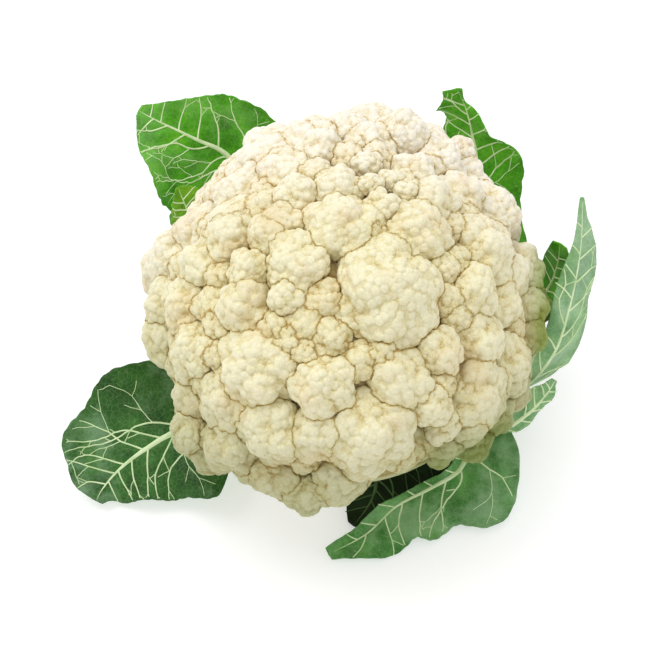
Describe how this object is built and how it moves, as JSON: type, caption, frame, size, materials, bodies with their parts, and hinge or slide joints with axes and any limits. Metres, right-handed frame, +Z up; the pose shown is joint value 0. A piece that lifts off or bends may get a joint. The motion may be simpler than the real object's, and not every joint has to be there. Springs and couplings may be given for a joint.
{
  "type": "cauliflower",
  "caption": "Domed head of close creamy florets on a short cut stalk, with green veined leaves round it, some upright and some lying spread at the foot.",
  "frame": {"origin": "middle of the stalk's cut face, on which the head stands", "axes": "+Z up through the head, -Y to the front, +X to the right seen from the front"},
  "size_m": [0.2481, 0.2257, 0.1557],
  "materials": {
    "curd": "fresh curd, matt and finely grained, cream with ochre shade in the clefts",
    "stalk": "pale green smooth stalk with a moist cut face",
    "leaf_bright": "fresh bright green blade, slightly waxy, with pale veins",
    "leaf_young": "young yellow-green blade with pale veins",
    "leaf_dark": "dark blue-green blade with a waxy bloom and pale veins",
    "leaf_pale": "pale grey-green waxy back of the blade, with pale veins",
    "rib": "smooth pale green-white midrib and veins"
  },
  "bodies": {
    "root": {"curd": "curd", "stalk": "stalk", "leaf_back_left": "leaf_bright", "leaf_back_left_small": "leaf_young", "leaf_front_left": "leaf_dark", "leaf_front": "leaf_dark", "leaf_front_under": "leaf_dark", "leaf_right": "leaf_pale", "leaf_right_low": "leaf_pale", "leaf_right_small": "leaf_bright", "leaf_back_right": "leaf_bright"}
  },
  "joints": []
}
